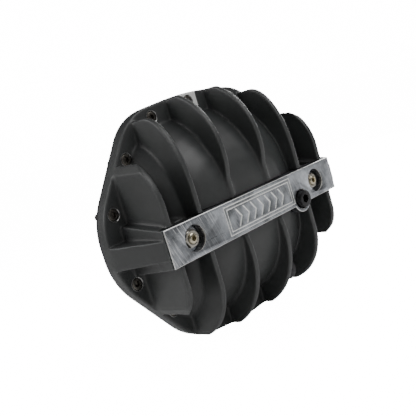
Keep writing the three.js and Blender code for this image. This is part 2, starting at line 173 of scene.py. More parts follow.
FLOOR_RADIUS = 30
FLOOR_DROP = 0.4  # how much less than the surround the floor glows
SENSOR_WIDTH = 36

# A bend between neighbouring normals that counts as an edge, and how far its effect reaches.
EDGE_BEND = 0.012
EDGE_REACH = 3 * MM

NOISE_SPAN = (0.3, 0.7)  # where most values of a noise texture lie
SCRATCH = (0.86, 0.87, 0.88)  # fresh metal in a scratch

CAMERA_PLACE = Vector((-517.8, -573.9, 120.7)) * MM
CAMERA_AZIMUTH = -41.825
CAMERA_ELEVATION = 8.409
CAMERA_ROLL = -16.81

# Each light's name, azimuth and elevation in degrees, distance, width and height in metres,
# and power in watts.
LIGHTS = (
    ("left_box", -118, 30, 1.3, 0.7, 0.9, 9),
    ("top_box", 22, 50, 1.4, 1.0, 0.7, 12),
    ("front_box", -50, 32, 1.9, 0.7, 0.7, 3),
    ("right_box", 76, -4, 1.8, 0.30, 0.4, 3.4),
    ("far_right_box", 102, 18, 1.5, 0.6, 0.8, 20),
)


# ---- what a user would change --------------------------------------------------------------

def colour(name, description, default):
    return FloatVectorProperty(
        name=name, description=description, subtype="COLOR", size=3, min=0, max=1, default=default,
    )


class CastingSettings(bpy.types.PropertyGroup):
    grid: FloatProperty(
        name="Grid", description="Spacing of the casting's surface points", default=1.1 * MM,
        unit="LENGTH", precision=4,
    )
    rounding: IntProperty(
        name="Rounding", description="Passes that round the casting's edges", default=3,
    )
    broad: IntProperty(
        name="Broad", description="Passes that even out the broad curved faces", default=60,
    )
    fillet: IntProperty(
        name="Fillet", description="Passes that fill the roots of the ribs", default=14,
    )
    paint: colour("Paint", "Black paint of the casting", (0.036, 0.038, 0.038))
    bare: colour("Bare metal", "Machined aluminium where the paint is cut away", (0.92, 0.92, 0.90))


class BarSettings(bpy.types.PropertyGroup):
    metal: colour("Metal", "Brushed aluminium of the bar", (0.25, 0.262, 0.28))
    groove: colour("Groove", "Bright cut metal inside the engraved lines", (0.90, 0.90, 0.88))
    edge: FloatProperty(
        name="Edge", description="Width of the broken edges", default=0.25 * MM, unit="LENGTH",
        precision=5,
    )


class HardwareSettings(bpy.types.PropertyGroup):
    oxide: colour("Black oxide", "Flange screws", (0.15, 0.14, 0.125))
    plug: colour("Black plug", "Fill plug and drain plug", (0.040, 0.040, 0.042))
    zinc: colour("Clear zinc", "Jam nuts", (0.36, 0.34, 0.30))
    yellow: colour("Yellow zinc", "Load screws", (0.55, 0.50, 0.38))
    seal: colour("Seal", "Sealing rings and washers", (0.46, 0.45, 0.43))
    gasket: colour("Gasket", "Gasket sheet", (0.028, 0.028, 0.030))
    magnet: colour("Magnet", "Nickel plate of the drain plug's magnet", (0.45, 0.45, 0.46))
    flange_pitch: FloatProperty(
        name="Flange screw pitch", description="Thread pitch", default=1.25 * MM, unit="LENGTH",
        precision=5,
    )
    load_pitch: FloatProperty(
        name="Load screw pitch", description="Thread pitch", default=1.75 * MM, unit="LENGTH",
        precision=5,
    )
    plug_pitch: FloatProperty(
        name="Plug pitch", description="Thread pitch", default=1.5 * MM, unit="LENGTH",
        precision=5,
    )


class StageSettings(bpy.types.PropertyGroup):
    floor: colour("Floor", "Pale floor", (0.93, 0.93, 0.93))
    white: FloatProperty(
        name="White", description="Brightness of the surround as the camera sees it", default=16.0,
    )
    fill: FloatProperty(
        name="Fill", description="Brightness of the surround on the cover", default=0.04,
    )
    lens: FloatProperty(name="Lens", description="Camera lens", default=52.74, unit="CAMERA")


# ---- node helpers --------------------------------------------------------------------------

def add(tree, kind, settings=None, values=None):
    """A node with its settings, and fixed values on its own sockets."""
    node = tree.nodes.new(kind)
    for key, value in (settings or {}).items():
        setattr(node, key, value)
    for key, value in (values or {}).items():
        node.inputs[key].default_value = value
    return node


def socketed_group(name, inputs, outputs):
    """An empty node group with named sockets, and its two ends."""
    tree = bpy.data.node_groups.new(name, "ShaderNodeTree")
    for label, kind, default in inputs:
        socket = tree.interface.new_socket(label, in_out="INPUT", socket_type=kind)
        socket.default_value = default
    for label, kind in outputs:
        tree.interface.new_socket(label, in_out="OUTPUT", socket_type=kind)
    start = tree.nodes.new("NodeGroupInput")
    end = tree.nodes.new("NodeGroupOutput")
    return tree, start, end


def build_grain():
    """Soft mottling: two sizes of noise, as a mask round a half."""
    tree, start, end = socketed_group(
        "Surface grain",
        [("Scale", "NodeSocketFloat", 60.0), ("Fine", "NodeSocketFloat", 9.0)],
        [("Mask", "NodeSocketFloat"), ("Fine mask", "NodeSocketFloat")],
    )
    place = add(tree, "ShaderNodeTexCoord")
    broad = add(tree, "ShaderNodeTexNoise", None, {"Detail": 4.0, "Roughness": 0.6})
    fine = add(tree, "ShaderNodeTexNoise", None, {"Detail": 3.0, "Roughness": 0.6})
    finer = add(tree, "ShaderNodeMath", {"operation": "MULTIPLY"})
    tree.links.new(place.outputs["Object"], broad.inputs["Vector"])
    tree.links.new(place.outputs["Object"], fine.inputs["Vector"])
    tree.links.new(start.outputs["Scale"], broad.inputs["Scale"])
    tree.links.new(start.outputs["Scale"], finer.inputs[0])
    tree.links.new(start.outputs["Fine"], finer.inputs[1])
    tree.links.new(finer.outputs[0], fine.inputs["Scale"])
    tree.links.new(broad.outputs["Fac"], end.inputs["Mask"])
    tree.links.new(fine.outputs["Fac"], end.inputs["Fine mask"])
    return tree


def build_brushing():
    """Streaks: noise drawn out along one direction."""
    tree, start, end = socketed_group(
        "Brushed streaks",
        [("Stretch", "NodeSocketVector", (20.0, 400.0, 400.0)), ("Turn", "NodeSocketFloat", 0.0)],
        [("Mask", "NodeSocketFloat")],
    )
    place = add(tree, "ShaderNodeTexCoord")
    turn = add(tree, "ShaderNodeVectorRotate", {"rotation_type": "Y_AXIS"})
    draw = add(tree, "ShaderNodeVectorMath", {"operation": "MULTIPLY"})
    noise = add(tree, "ShaderNodeTexNoise", None, {"Scale": 1.0, "Detail": 4.0, "Roughness": 0.65})
    tree.links.new(place.outputs["Object"], turn.inputs["Vector"])
    tree.links.new(start.outputs["Turn"], turn.inputs["Angle"])
    tree.links.new(turn.outputs["Vector"], draw.inputs[0])
    tree.links.new(start.outputs["Stretch"], draw.inputs[1])
    tree.links.new(draw.outputs["Vector"], noise.inputs["Vector"])
    tree.links.new(noise.outputs["Fac"], end.inputs["Mask"])
    return tree


def build_wear_and_highlight():
    """Where edges stand out: the geometry's pointed places, broken up by noise."""
    tree, start, end = socketed_group(
        "Edge wear and highlight",
        [
            ("From", "NodeSocketFloat", 0.52), ("To", "NodeSocketFloat", 0.62),
            ("Break up", "NodeSocketFloat", 0.3), ("Scale", "NodeSocketFloat", 120.0),
        ],
        [("Mask", "NodeSocketFloat")],
    )
    shape = add(tree, "ShaderNodeNewGeometry")
    place = add(tree, "ShaderNodeTexCoord")
    band = add(tree, "ShaderNodeMapRange", {"clamp": True})
    noise = add(tree, "ShaderNodeTexNoise", None, {"Detail": 3.0})
    share = add(tree, "ShaderNodeMath", {"operation": "MULTIPLY"})
    less = add(tree, "ShaderNodeMath", {"operation": "SUBTRACT", "use_clamp": True})
    tree.links.new(shape.outputs["Pointiness"], band.inputs["Value"])
    tree.links.new(start.outputs["From"], band.inputs["From Min"])
    tree.links.new(start.outputs["To"], band.inputs["From Max"])
    tree.links.new(place.outputs["Object"], noise.inputs["Vector"])
    tree.links.new(start.outputs["Scale"], noise.inputs["Scale"])
    tree.links.new(noise.outputs["Fac"], share.inputs[0])
    tree.links.new(start.outputs["Break up"], share.inputs[1])
    tree.links.new(band.outputs["Result"], less.inputs[0])
    tree.links.new(share.outputs[0], less.inputs[1])
    tree.links.new(less.outputs[0], end.inputs["Mask"])
    return tree


GROUPS = {}


def group(tree, name, values):
    """A shared effect placed in a material, with its own values."""
    builders = {"grain": build_grain, "brushing": build_brushing, "wear_and_highlight": build_wear_and_highlight}
    if name not in GROUPS:
        GROUPS[name] = builders[name]()
    return add(tree, "ShaderNodeGroup", {"node_tree": GROUPS[name]}, values)


def new_material(name, base, roughness, metallic=0.0):
    """A material and its Principled shader, with the even values set on it."""
    material = bpy.data.materials.new(name)
    material.use_nodes = True
    shader = material.node_tree.nodes["Principled BSDF"]
    shader.inputs["Base Color"].default_value = (*base, 1.0)
    shader.inputs["Roughness"].default_value = roughness
    shader.inputs["Metallic"].default_value = metallic
    return material, material.node_tree, shader


def blend_colours(tree, mask, low, high):
    """A colour between two, by a mask. Each end is a colour or a socket."""
    mix = add(tree, "ShaderNodeMix", {"data_type": "RGBA"})
    for end, socket in ((low, mix.inputs[6]), (high, mix.inputs[7])):
        if isinstance(end, bpy.types.NodeSocket):
            tree.links.new(end, socket)
        else:
            socket.default_value = (*end, 1.0)
    tree.links.new(mask, mix.inputs[0])
    return mix.outputs[2]


def spread_values(tree, mask, low, high, mask_low=0.0, mask_high=1.0):
    """A number between two, by a mask."""
    band = add(tree, "ShaderNodeMapRange", {"clamp": True}, {
        "From Min": mask_low, "From Max": mask_high, "To Min": low, "To Max": high,
    })
    tree.links.new(mask, band.inputs["Value"])
    return band.outputs["Result"]


def bump(tree, shader, height, distance, strength):
    """Raises the surface a little by a mask."""
    node = add(tree, "ShaderNodeBump", None, {"Distance": distance, "Strength": strength})
    tree.links.new(height, node.inputs["Height"])
    tree.links.new(node.outputs["Normal"], shader.inputs["Normal"])


def shade(rgb, factor):
    """A colour made lighter or darker."""
    return tuple(min(1.0, part * factor) for part in rgb)


# ---- materials -----------------------------------------------------------------------------

def paint_material(settings):
    """Satin black over a fine cast skin, painted lighter on the edges as part rubbed wear and part
    painted highlight, bare where machined.
    """
    material, tree, shader = new_material("cast_black", settings.paint, 0.42, 0.0)
    grain = group(tree, "grain", {"Scale": 45.0, "Fine": 22.0})
    # The lighter paint on the sharp edges is partly rubbed wear and partly a painted highlight
    # along the rib edges.
    wear_and_highlight = group(tree, "wear_and_highlight", {"From": 0.505, "To": 0.56, "Break up": 0.35, "Scale": 90.0})
    mottled = blend_colours(
        tree, grain.outputs["Mask"], shade(settings.paint, 0.85), shade(settings.paint, 1.2),
    )
    worn_and_highlit = blend_colours(tree, wear_and_highlight.outputs["Mask"], mottled, shade(settings.paint, 2.4))
    bare = add(tree, "ShaderNodeAttribute", {"attribute_name": "bare"})
    mask = bare.outputs["Fac"]
    skin = blend_colours(tree, mask, worn_and_highlit, settings.bare)
    tree.links.new(skin, shader.inputs["Base Color"])
    part_metal = spread_values(tree, mask, 0.0, 0.25)
    tree.links.new(part_metal, shader.inputs["Metallic"])
    satin = spread_values(tree, grain.outputs["Fine mask"], 0.40, 0.54, *NOISE_SPAN)
    rough = add(tree, "ShaderNodeMix", {"data_type": "FLOAT"})
    tree.links.new(mask, rough.inputs[0])
    tree.links.new(satin, rough.inputs[2])
    rough.inputs[3].default_value = 0.34
    tree.links.new(rough.outputs[0], shader.inputs["Roughness"])
    bump(tree, shader, grain.outputs["Fine mask"], 0.06 * MM, 0.5)
    return material


def billet_material(settings):
    """Brushed aluminium: fine streaks, broad smears, cross-scratches and bright cut lines."""
    material, tree, shader = new_material("billet", settings.metal, 0.32, 1.0)
    streaks = group(tree, "brushing", {"Stretch": (14.0, 900.0, 900.0), "Turn": 0.0})
    cross = group(tree, "brushing", {"Stretch": (900.0, 60.0, 35.0), "Turn": 0.35})
    grain = group(tree, "grain", {"Scale": 38.0, "Fine": 6.0})
    place = add(tree, "ShaderNodeTexCoord")
    parts = add(tree, "ShaderNodeSeparateXYZ")
    tree.links.new(place.outputs["Object"], parts.inputs["Vector"])

    smear = spread_values(
        tree, grain.outputs["Mask"], low=0.0, high=1.0, mask_low=0.36, mask_high=0.64,
    )
    metal = blend_colours(tree, smear, shade(settings.metal, 0.55), shade(settings.metal, 1.6))
    scratched = spread_values(
        tree, cross.outputs["Mask"], low=0.0, high=1.0, mask_low=0.52, mask_high=0.70,
    )
    left_end = spread_values(
        tree, parts.outputs["X"], low=1.0, high=0.25,
        mask_low=BAR_LOW.x + 0.02, mask_high=BAR_LOW.x + 0.08,
    )
    amount = add(tree, "ShaderNodeMath", {"operation": "MULTIPLY"})
    tree.links.new(scratched, amount.inputs[0])
    tree.links.new(left_end, amount.inputs[1])
    marked = blend_colours(tree, amount.outputs[0], metal, SCRATCH)

    # The engraved lines lie deeper than the face, so depth alone picks them out.
    depth = spread_values(
        tree, parts.outputs["Y"], low=0.0, high=1.0,
        mask_low=BAR_LOW.y + 0.05 * MM, mask_high=BAR_LOW.y + 0.25 * MM,
    )
    shallow = spread_values(
        tree, parts.outputs["Y"], low=1.0, high=0.0,
        mask_low=BAR_LOW.y + 1.1 * MM, mask_high=BAR_LOW.y + 1.4 * MM,
    )
    cut = add(tree, "ShaderNodeMath", {"operation": "MULTIPLY"})
    tree.links.new(depth, cut.inputs[0])
    tree.links.new(shallow, cut.inputs[1])
    lined = blend_colours(tree, cut.outputs[0], marked, settings.groove)
    tree.links.new(lined, shader.inputs["Base Color"])
    bright = spread_values(tree, cut.outputs[0], 1.0, 0.4)
    tree.links.new(bright, shader.inputs["Metallic"])

    rough = spread_values(tree, streaks.outputs["Mask"], 0.24, 0.44, *NOISE_SPAN)
    tree.links.new(rough, shader.inputs["Roughness"])
    height = add(tree, "ShaderNodeMath", {"operation": "ADD"})
    tree.links.new(streaks.outputs["Mask"], height.inputs[0])
    tree.links.new(amount.outputs[0], height.inputs[1])
    bump(tree, shader, height.outputs[0], 0.05 * MM, 0.6)
    return material


def plated_material(name, base, roughness, tint):
    """Plated or oxidised steel: cloudy colour, fine turning marks and rubbed edges."""
    material, tree, shader = new_material(name, base, roughness, 1.0)
    grain = group(tree, "grain", {"Scale": 160.0, "Fine": 5.0})
    wear_and_highlight = group(tree, "wear_and_highlight", {"From": 0.53, "To": 0.66, "Break up": 0.4, "Scale": 300.0})
    cloudy = blend_colours(tree, grain.outputs["Mask"], shade(base, 0.75), tint)
    worn_and_highlit = blend_colours(tree, wear_and_highlight.outputs["Mask"], cloudy, shade(base, 1.8))
    tree.links.new(worn_and_highlit, shader.inputs["Base Color"])
    satin = spread_values(
        tree, grain.outputs["Fine mask"], roughness - 0.08, roughness + 0.12, *NOISE_SPAN,
    )
    tree.links.new(satin, shader.inputs["Roughness"])
    bump(tree, shader, grain.outputs["Fine mask"], 0.02 * MM, 0.5)
    return material


def gasket_material(settings):
    """Fibre gasket sheet."""
    material, tree, shader = new_material("gasket_sheet", settings.gasket, 0.8)
    grain = group(tree, "grain", {"Scale": 300.0, "Fine": 6.0})
    fibre = blend_colours(
        tree, grain.outputs["Fine mask"], shade(settings.gasket, 0.6), shade(settings.gasket, 2.0),
    )
    tree.links.new(fibre, shader.inputs["Base Color"])
    bump(tree, shader, grain.outputs["Fine mask"], 0.05 * MM, 0.6)
    return material


# ---- mesh helpers --------------------------------------------------------------------------

def dress(mesh, material, angle=35):
    """Smooth shading with sharp edges past an angle, and one material."""
    mesh.materials.clear()
    mesh.materials.append(material)
    for face in mesh.polygons:
        face.use_smooth = True
    mesh.set_sharp_from_angle(angle=math.radians(angle))


def place_piece(mesh, name, body, slot, *nodes):
    """A new piece that rides on a body and stands for its CAD nodes."""
    piece = bpy.data.objects.new(name, mesh)
    bpy.context.scene.collection.objects.link(piece)
    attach(piece, body)
    if nodes:
        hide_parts(*nodes)
    return piece


def body_of(node):
    """The moving body a node belongs to."""
    return frame["nodes"][node]["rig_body"]


def eased_copy(node, width, segments=2):
    """A node's mesh with its flat faces joined and its sharp edges broken."""
    work = bmesh.new()
    work.from_mesh(frame["nodes"][node].data)
    bmesh.ops.remove_doubles(work, verts=work.verts, dist=1e-6)
    bmesh.ops.dissolve_limit(
        work, angle_limit=math.radians(FLAT_FACE), verts=work.verts, edges=work.edges,
        use_dissolve_boundaries=False,
    )
    sharp = [
        edge for edge in work.edges
        if len(edge.link_faces) == 2 and edge.calc_face_angle() > math.radians(BROKEN_EDGE)
    ]
    bmesh.ops.bevel(
        work, geom=sharp, offset=width, offset_type="OFFSET", segments=segments, profile=0.5,
        affect="EDGES", clamp_overlap=True, harden_normals=False,
    )
    mesh = bpy.data.meshes.new(node + "_eased")
    work.to_mesh(mesh)
    work.free()
    return mesh


def hexagon(across):
    """The radius of a hexagon at each angle."""
    def radius(angles):
        sector = np.mod(angles + math.pi / 6, math.pi / 3) - math.pi / 6
        return across / 2 / np.cos(sector)
    return radius


def thread(radius, depth, pitch, start, end):
    """Rings along a screw thread, which runs right-handed from start to end."""
    steps = max(4, int(round((end - start) / (pitch / 4))))
    rings = []
    for i in range(steps + 1):
        y = start + (end - start) * i / steps
        fade = min(1.0, i / 4, (steps - i) / 4)

        def at(angles, y=y, fade=fade):
            phase = np.mod((y - start) / pitch + angles / (2 * math.pi), 1.0)
            return radius - depth * fade * (1 - np.abs(2 * phase - 1))
        rings.append((y, at))
    return rings


def turned_mesh(name, rings, place, segments=SCREW_SEGMENTS):
    """A closed body from rings about a screw's axis. Each ring is its y and its radius."""
    angles = np.arange(segments) * 2 * math.pi / segments
    verts = []
    for y, radius in rings:
        reach = radius(angles) if callable(radius) else np.full(segments, radius)
        verts.extend(
            (place[0] + r * math.cos(a), y, place[1] + r * math.sin(a))
            for r, a in zip(reach, angles)
        )
    faces = []
    for i in range(len(rings) - 1):
        for j in range(segments):
            k = (j + 1) % segments
            near, far = i * segments, (i + 1) * segments
            faces.append((near + j, near + k, far + k, far + j))
    mesh = bpy.data.meshes.new(name)
    mesh.from_pydata(verts, [], faces)
    work = bmesh.new()
    work.from_mesh(mesh)
    bmesh.ops.remove_doubles(work, verts=work.verts, dist=1e-7)
    bmesh.ops.recalc_face_normals(work, faces=work.faces)
    work.to_mesh(mesh)
    work.free()
    return mesh


# ---- the casting ---------------------------------------------------------------------------

def neighbour_pull(points, edges, count):
    """From each point to the middle of its neighbours."""
    a, b = edges[:, 0], edges[:, 1]
    pull = np.empty_like(points)
    for k in range(3):
        total = np.bincount(a, points[b, k], len(points))
        total += np.bincount(b, points[a, k], len(points))
        pull[:, k] = total / count - points[:, k]
    return pull


def surface_normals(points, quads):
    """Unit normals at the points of a mesh of four-sided faces."""
    across = points[quads[:, 2]] - points[quads[:, 0]]
    down = points[quads[:, 3]] - points[quads[:, 1]]
    flat = np.cross(across, down)
    total = np.zeros_like(points)
    for corner in range(4):
        for k in range(3):
            total[:, k] += np.bincount(quads[:, corner], flat[:, k], len(points))
    return total / np.maximum(np.linalg.norm(total, axis=1), 1e-12)[:, None]


def broad_faces(points, edges, quads, count, spacing):
    """Where the casting curves gently, some way from its edges, roots and holes."""
    a, b = edges[:, 0], edges[:, 1]
    normals = surface_normals(points, quads)
    for _ in range(2):
        turned = np.empty_like(normals)
        for k in range(3):
            total = np.bincount(a, normals[b, k], len(points))
            total += np.bincount(b, normals[a, k], len(points))
            turned[:, k] = normals[:, k] + total / count
        normals = turned / np.linalg.norm(turned, axis=1)[:, None]
    bend = 1 - (normals[a] * normals[b]).sum(1)
    sharpest = np.zeros(len(points))
    np.maximum.at(sharpest, a, bend)
    np.maximum.at(sharpest, b, bend)
    sharp = (sharpest > EDGE_BEND).astype(float)
    for _ in range(max(2, int(round(EDGE_REACH / spacing)))):
        spread = np.maximum(sharp[a], sharp[b])
        np.maximum.at(sharp, a, spread)
        np.maximum.at(sharp, b, spread)
    return (1 - sharp)[:, None]


def away_from(points, place):
    """Each point's distance from a screw's axis."""
    return np.hypot(points[:, 0] - place[0], points[:, 2] - place[1])


def casting_masks(points):
    """How much each point of the casting may be rounded, and may be filled."""
    rounding = np.ones(len(points))
    filling = np.ones(len(points))
    machined = [(place, POCKET_REACH, POCKET_ROUNDING) for place in SCREW_PLACES]
    machined += [(place, LOAD_REACH, BOSS_ROUNDING) for place in LOAD_PLACES]
    machined += [(FILL_PLACE, FILL_REACH, BOSS_ROUNDING), (DRAIN_PLACE, DRAIN_REACH, BOSS_ROUNDING)]
    for place, reach, share in machined:
        near = away_from(points, place) < reach
        rounding[near] = share
        filling[near] = 0
    by_bar = points[:, 1] < SEAT_DEPTH
    by_bar &= np.abs(points[:, 0]) < BAR_HIGH.x + SEAT_PAST_ENDS
    by_bar &= np.abs(points[:, 2]) < BAR_HIGH.z + SEAT_PAST_EDGES
    by_lug = (away_from(points, FILL_PLACE) < LUG_REACH) & (points[:, 1] < SEAT_DEPTH)
    rounding[by_bar | by_lug] = SEAT_ROUNDING
    filling[by_bar | by_lug] = 0
    return rounding[:, None], filling[:, None]


def bare_patch(points):
    """The machined spot on the flange, over the middle screw at the top."""
    patch = points[:, 1] < POCKET_FLOOR + 0.8 * MM
    patch &= points[:, 1] > POCKET_FLOOR - 1.2 * MM
    patch &= (points[:, 0] > SPOT_LEFT) & (points[:, 0] < SPOT_RIGHT)
    patch &= points[:, 2] > SPOT_BOTTOM
    return patch.astype(np.float32)


def casting_mesh(settings):
    """The CAD casting, resampled evenly, its edges rounded and its roots filled."""
    rough = bpy.data.objects.new("casting_work", frame["nodes"]["cover_casting"].data.copy())
    bpy.context.scene.collection.objects.link(rough)
    remesh = rough.modifiers.new("even", "REMESH")
    remesh.mode = "VOXEL"
    remesh.voxel_size = settings.grid
    bpy.context.view_layer.update()
    shaped = rough.evaluated_get(bpy.context.evaluated_depsgraph_get())
    mesh = bpy.data.meshes.new_from_object(shaped)
    bpy.data.objects.remove(rough)

    count = len(mesh.vertices)
    points = np.empty(count * 3)
    mesh.vertices.foreach_get("co", points)
    points = points.reshape(-1, 3)
    edges = np.empty(len(mesh.edges) * 2, int)
    mesh.edges.foreach_get("vertices", edges)
    edges = edges.reshape(-1, 2)
    quads = np.empty(len(mesh.polygons) * 4, int)
    mesh.polygons.foreach_get("vertices", quads)
    quads = quads.reshape(-1, 4)
    valence = np.bincount(edges.ravel(), minlength=count)

    rounding, filling = casting_masks(points)
    spacing = np.linalg.norm(points[edges[:, 0]] - points[edges[:, 1]], axis=1).mean()
    broad = broad_faces(points, edges, quads, valence, spacing)
    for _ in range(settings.broad):
        points += SMOOTH_STEP * broad * neighbour_pull(points, edges, valence)
    for _ in range(settings.rounding):
        points += SMOOTH_STEP * rounding * neighbour_pull(points, edges, valence)
    for i in range(settings.fillet):
        if i % NORMALS_EVERY == 0:
            normals = surface_normals(points, quads)
        pull = neighbour_pull(points, edges, valence)
        outward = np.maximum(0, (pull * normals).sum(1))[:, None]
        points += FILL_STEP * filling * outward * normals
    for _ in range(settings.rounding // 2):
        points += SMOOTH_STEP * rounding * neighbour_pull(points, edges, valence)

    inside = np.array([CAST_LOW, CAST_HIGH])
    points = np.clip(points, inside[0], inside[1])
    mesh.vertices.foreach_set("co", points.ravel())
    bare = mesh.attributes.new("bare", "FLOAT", "POINT")
    bare.data.foreach_set("value", bare_patch(points))
    mesh.update()
    return mesh


class COVER_OT_casting(bpy.types.Operator):
    """Makes the painted casting with its soft cast edges"""

    bl_idname = "cover.casting"
    bl_label = "Casting"

    def execute(self, context):
        settings = context.scene.cover_casting
        mesh = casting_mesh(settings)
        mesh.materials.clear()
        mesh.materials.append(paint_material(settings))
        for face in mesh.polygons:
            face.use_smooth = True
        place_piece(mesh, "painted_casting", "cover", "cast_black", "cover_casting")
        return {"FINISHED"}


class COVER_OT_machined_rims(bpy.types.Operator):
    """Makes the bright rims that the cutter leaves round the sunk screws"""

    bl_idname = "cover.machined_rims"
    bl_label = "Machined rims"

    def execute(self, context):
        settings = context.scene.cover_casting
        bright = plated_material(
            "bare_rim", shade(settings.bare, 0.4), 0.3, shade(settings.bare, 0.55),
        )
        # Once round the rim's section: over its lip, down the bore and back behind the lip.
        rings = [
            (POCKET_FLOOR + depth * MM, radius * MM) for depth, radius in (
                (0.3, 8.05), (-0.12, 7.95), (-0.18, 7.55), (0.25, 7.0),
                (2.2, 6.95), (2.2, 7.3), (0.3, 8.05),
            )
        ]
        for name, place in zip(FLANGE_SCREWS, SCREW_PLACES):
            mesh = turned_mesh("machined_rim", rings, place)
            dress(mesh, bright)
            place_piece(mesh, name.replace("flange_screw", "machined_rim"), "cover", "cast_black")
        return {"FINISHED"}


# ---- the bar and the gasket ----------------------------------------------------------------

class COVER_OT_bar(bpy.types.Operator):
    """Makes the brushed billet bar with its engraved panel"""

    bl_idname = "cover.bar"
    bl_label = "Support bar"

    def execute(self, context):
        settings = context.scene.cover_bar
        mesh = eased_copy("support_bar", settings.edge)
        dress(mesh, billet_material(settings), FLAT_SHARP)
        place_piece(mesh, "billet_bar", "cover", "billet", "support_bar")
        return {"FINISHED"}


class COVER_OT_gasket(bpy.types.Operator):
    """Gives the gasket its fibre sheet"""

    bl_idname = "cover.gasket"
    bl_label = "Gasket"

    def execute(self, context):
        mesh = eased_copy("flange_gasket", GASKET_EDGE, 1)
        dress(mesh, gasket_material(context.scene.cover_hardware), FLAT_SHARP)
        place_piece(mesh, "gasket_sheet", "cover", "gasket_sheet", "flange_gasket")
        return {"FINISHED"}


# ---- screws, nuts, seals and plugs ---------------------------------------------------------

def socket_rings(front, head, across, depth):
    """The rings of a hexagon socket, from its drilled bottom out to the head's front edge."""
    bottom = front + depth
    return [
        (bottom + 0.12 * across, 0.0), (bottom, 0.42 * across), (bottom, hexagon(across)),
        (front + 0.3 * MM, hexagon(across)), (front, hexagon(across * 1.06)),
        (front, head - 0.5 * MM),
    ]


def headed_screw(node, head, under, shank, socket, depth, pitch, segments):
    """A screw or plug with a round head, a hexagon socket and a threaded shank."""
    front, end = front_of(node), back_of(node)
    groove = THREAD_DEPTH * pitch
    rings = socket_rings(front, head, socket, depth)
    rings += [
        (front + 0.15 * MM, head - 0.15 * MM), (front + 0.5 * MM, head),
        (under - 0.3 * MM, head), (under, head - 0.3 * MM), (under, shank),
        (under + pitch, shank - groove * 0.6),
    ]
    rings += thread(shank, groove, pitch, under + 1.2 * pitch, end - 0.8 * pitch)
    rings += [(end - 0.5 * pitch, shank - groove), (end, shank - 1.3 * groove), (end, 0.0)]
    return turned_mesh(node + "_threaded", rings, centre_of(node), segments)


class COVER_OT_flange_screws(bpy.types.Operator):
    """Makes the fourteen sunk socket screws of the flange"""

    bl_idname = "cover.flange_screws"
    bl_label = "Flange screws"

    def execute(self, context):
        settings = context.scene.cover_hardware
        oxide = plated_material(
            "black_oxide_screw", settings.oxide, 0.36, shade(settings.oxide, 1.7),
        )
        for node in FLANGE_SCREWS:
            low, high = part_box(node)
            mesh = headed_screw(
                node, head=(high.x - low.x) / 2, under=low.y + FLANGE_HEAD_HEIGHT,
                pitch=settings.flange_pitch, segments=SCREW_SEGMENTS, **FLANGE_SCREW,
            )
            dress(mesh, oxide, TURNED_SHARP)
            place_piece(mesh, node.replace("flange_", "socket_"), "cover", "black_oxide", node)
        return {"FINISHED"}


class COVER_OT_load_screws(bpy.types.Operator):
    """Makes the two bearing-cap load screws with their jam nuts and seals"""

    bl_idname = "cover.load_screws"
    bl_label = "Load screws"

    def execute(self, context):
        settings = context.scene.cover_hardware
        yellow = plated_material("yellow_zinc", settings.yellow, 0.28, shade(settings.yellow, 1.25))
        zinc = plated_material("clear_zinc", settings.zinc, 0.26, shade(settings.zinc, 1.25))
        seal = plated_material("seal_washer", settings.seal, 0.4, shade(settings.seal, 1.2))
        for side in ("left", "right"):
            node = side + "_load_screw"
            low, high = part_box(node)
            radius = (high.x - low.x) / 2
            pitch = settings.load_pitch
            rings = socket_rings(
                low.y, radius - 0.9 * MM, LOAD_SOCKET_ACROSS, LOAD_SOCKET_DEPTH,
            )
            rings += [(low.y + 0.4 * MM, radius - 0.7 * MM)]
            rings += thread(
                radius, LOAD_THREAD_DEPTH * pitch, pitch, low.y + 0.9 * MM, high.y - 3 * MM,
            )
            rings += [
                (high.y - 2.6 * MM, radius - 1.2 * MM), (high.y - 0.4 * MM, radius - 2 * MM),
                (high.y, radius - 2.6 * MM), (high.y, 0.0),
            ]
            mesh = turned_mesh(node + "_threaded", rings, centre_of(node))
            dress(mesh, yellow, TURNED_SHARP)
            place_piece(mesh, side + "_threaded_load_screw", body_of(node), "yellow_zinc", node)

            node = side + "_jam_nut"
            mesh = eased_copy(node, NUT_EDGE)
            dress(mesh, zinc, FLAT_SHARP)
            place_piece(mesh, side + "_chamfered_nut", body_of(node), "clear_zinc", node)

            node = side + "_seal_washer"
            mesh = eased_copy(node, SEAL_EDGE)
            dress(mesh, seal)
            place_piece(mesh, side + "_bonded_seal", body_of(node), "seal_metal", node)
        return {"FINISHED"}


class COVER_OT_plugs(bpy.types.Operator):
    """Makes the fill plug and the drain plug with their seals, and the drain magnet"""

    bl_idname = "cover.plugs"
    bl_label = "Plugs"

    def execute(self, context):
        settings = context.scene.cover_hardware
        oxide = plated_material(
            "black_oxide_plug", settings.plug, 0.40, shade(settings.plug, 1.6),
        )
        seal = plated_material("plug_seal", settings.seal, 0.4, shade(settings.seal, 1.2))
        nickel = plated_material("magnet_steel", settings.magnet, 0.3, shade(settings.magnet, 1.2))
        for node, sizes in (("fill_plug", FILL_PLUG), ("drain_plug", DRAIN_PLUG)):
            ring = node + "_seal"
            mesh = headed_screw(
                node, under=front_of(ring), pitch=settings.plug_pitch,
                segments=PLUG_SEGMENTS, **sizes,
            )
            dress(mesh, oxide, TURNED_SHARP)
            place_piece(mesh, node + "_threaded", body_of(node), "black_oxide", node)
            mesh = eased_copy(ring, SEAL_EDGE)
            dress(mesh, seal)
            place_piece(mesh, node + "_crush_ring", body_of(ring), "seal_metal", ring)
        mesh = eased_copy("drain_plug_magnet", MAGNET_EDGE)
        dress(mesh, nickel)
        place_piece(
            mesh, "drain_magnet", body_of("drain_plug_magnet"), "magnet_steel", "drain_plug_magnet",
        )
        return {"FINISHED"}


# ---- the stage -----------------------------------------------------------------------------

def direction(azimuth, elevation):
    """Unit vector from the cover towards a place round it."""
    a, e = math.radians(azimuth), math.radians(elevation)
    return Vector((math.sin(a) * math.cos(e), -math.cos(a) * math.cos(e), math.sin(e)))


